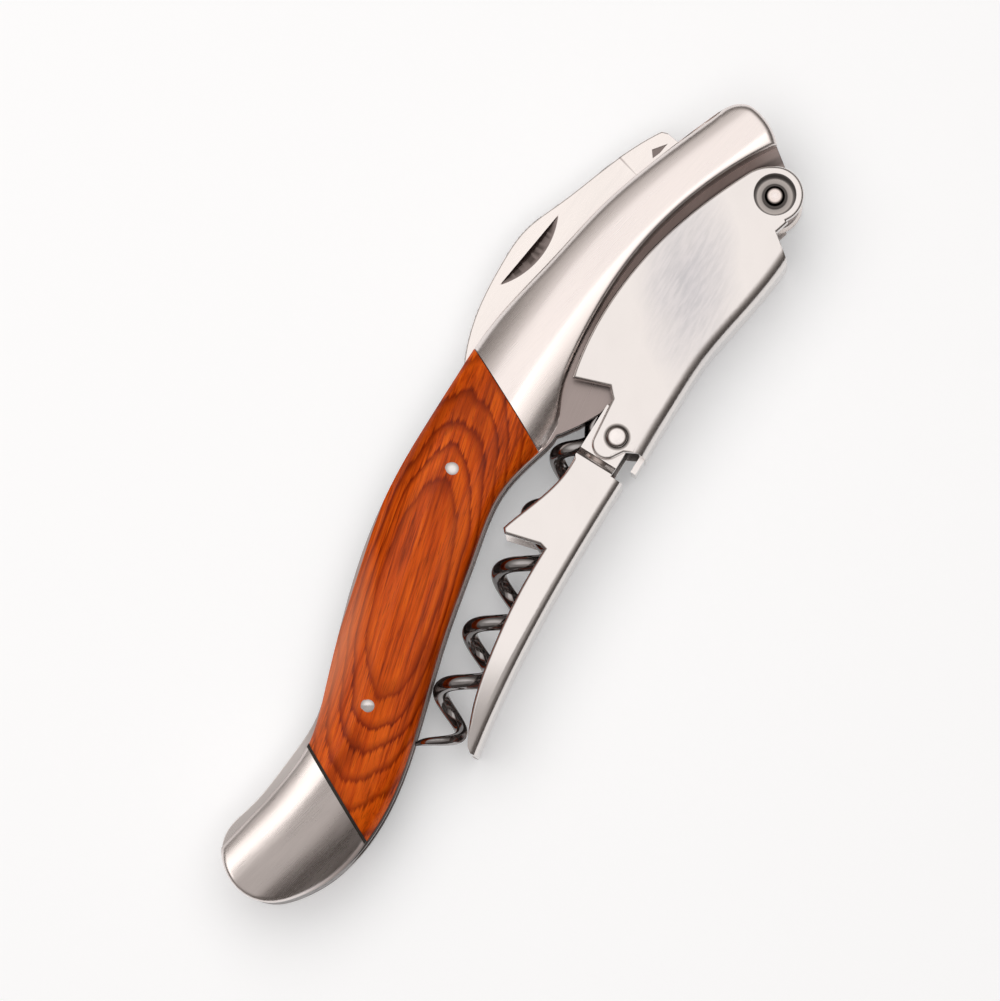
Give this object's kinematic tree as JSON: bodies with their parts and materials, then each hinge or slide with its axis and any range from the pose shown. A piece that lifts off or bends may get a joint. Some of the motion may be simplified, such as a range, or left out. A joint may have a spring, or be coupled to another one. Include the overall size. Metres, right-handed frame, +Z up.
{
  "type": "waiter's corkscrew",
  "caption": "Folded waiter's corkscrew with a wood and steel handle, a double-hinged channel lever, a helical worm and a curved foil cutter.",
  "frame": {"origin": "on the flat strip along the crown of the lower wood scale, midway between the two scale pins, where the folded tool rests on its side", "axes": "+X from the tail along the folded handle to the head, +Y from the lever side to the spine, +Z up through the thickness, away from the table"},
  "size_m": [0.1292, 0.034, 0.0134],
  "materials": {
    "wood": "orange-brown figured wood under clear gloss lacquer",
    "bolster_steel": "satin, brushed across the piece",
    "dark_shim": "thin dark fibre strip",
    "liner_steel": "satin edges",
    "pin_steel": "fine satin heads",
    "washer_brass": "plain",
    "lever_steel": "polished over fine brushing",
    "worm_steel": "dark bright plating",
    "blade_steel": "satin, ground edge"
  },
  "bodies": {
    "handle": {"top_liner": "liner_steel", "bottom_liner": "liner_steel", "back_spring": "liner_steel", "head_bolster_top": "bolster_steel", "head_bolster_bottom": "bolster_steel", "tail_bolster_top": "bolster_steel", "tail_bolster_bottom": "bolster_steel", "wood_scale_top": "wood", "wood_scale_bottom": "wood", "tail_joint_shims": "dark_shim", "scale_pins": "pin_steel", "head_bolster_rivets": "pin_steel", "tail_bolster_rivets": "pin_steel", "worm_pin": "pin_steel", "foil_cutter_pin": "pin_steel", "foil_cutter_washers": "washer_brass", "hinge_bush": "pin_steel", "lever_hinge_rivet": "pin_steel"},
    "upper_arm": {"upper_lever_arm": "lever_steel", "lever_joint_rivets": "pin_steel"},
    "lower_arm": {"lower_lever_arm": "lever_steel"},
    "worm": {"worm": "worm_steel"},
    "foil_cutter": {"foil_cutter_blade": "blade_steel"}
  },
  "joints": [
    {"name": "lever_hinge", "type": "hinge", "parent": "handle", "child": "upper_arm", "pos_m": [0.0727, -0.01385, 0.0067], "axis": [0, 0, 1], "range_deg": [0, 160]},
    {"name": "lower_arm_hinge", "type": "hinge", "parent": "upper_arm", "child": "lower_arm", "pos_m": [0.0326, -0.01312, 0.0067], "axis": [0, 0, 1], "range_deg": [0, 20]},
    {"name": "worm_swing", "type": "hinge", "parent": "handle", "child": "worm", "pos_m": [0.0426, -0.008, 0.0067], "axis": [0, 0, 1], "range_deg": [0, 96]},
    {"name": "foil_cutter_hinge", "type": "hinge", "parent": "handle", "child": "foil_cutter", "pos_m": [0.069, 0.0004, 0.0067], "axis": [0, 0, -1], "range_deg": [0, 170]}
  ],
  "couplings": [
    {"joint": "worm_swing", "follows": "lever_hinge", "ratio": 0.6}
  ]
}
